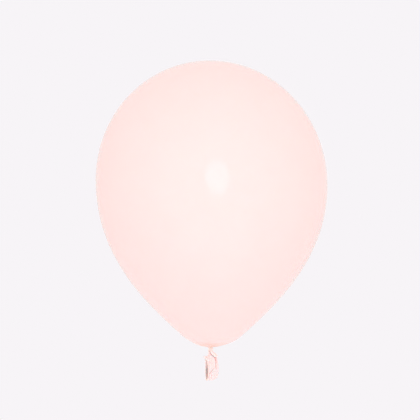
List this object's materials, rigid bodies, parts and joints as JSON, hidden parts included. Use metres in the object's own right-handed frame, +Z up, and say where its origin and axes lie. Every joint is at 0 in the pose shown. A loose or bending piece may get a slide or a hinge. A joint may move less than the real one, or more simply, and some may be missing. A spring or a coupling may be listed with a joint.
{
  "type": "latex balloon",
  "caption": "Inflated latex party balloon with a round bulb that tapers to a gathered throat, an overhand knot and a flattened tail ending in a rolled lip",
  "frame": {"origin": "The middle of the bare throat between the bulb and the knot, on the throat's axis, where a ribbon is tied", "axes": "+Z runs up the throat to the crown; -X is the side the mouth of the neck faces; the flat of the tail faces -Y and +Y"},
  "size_m": [0.28, 0.28, 0.3875],
  "materials": {
    "stretched_film": "gloss",
    "gathered_neck": "satin",
    "slack_neck": "satin",
    "rolled_bead": "satin"
  },
  "bodies": {
    "bulb": {"bulb_skin": "stretched_film", "throat": "gathered_neck"},
    "knot": {"knot_wrap": "gathered_neck", "knot_core": "gathered_neck"},
    "tail": {"tail": "slack_neck", "mouth_flare": "slack_neck", "rolled_lip": "rolled_bead"}
  },
  "joints": [
    {"name": "throat_sway", "type": "hinge", "parent": "bulb", "child": "knot", "pos_m": [0, 0, -0.00115], "axis": [0, 1, 0], "range_deg": [-40, 40], "stiffness_Nm_per_rad": 0.005},
    {"name": "tail_bend", "type": "hinge", "parent": "knot", "child": "tail", "pos_m": [0, 0, -0.01472], "axis": [1, 0, 0], "range_deg": [-45, 45], "stiffness_Nm_per_rad": 0.0002}
  ]
}
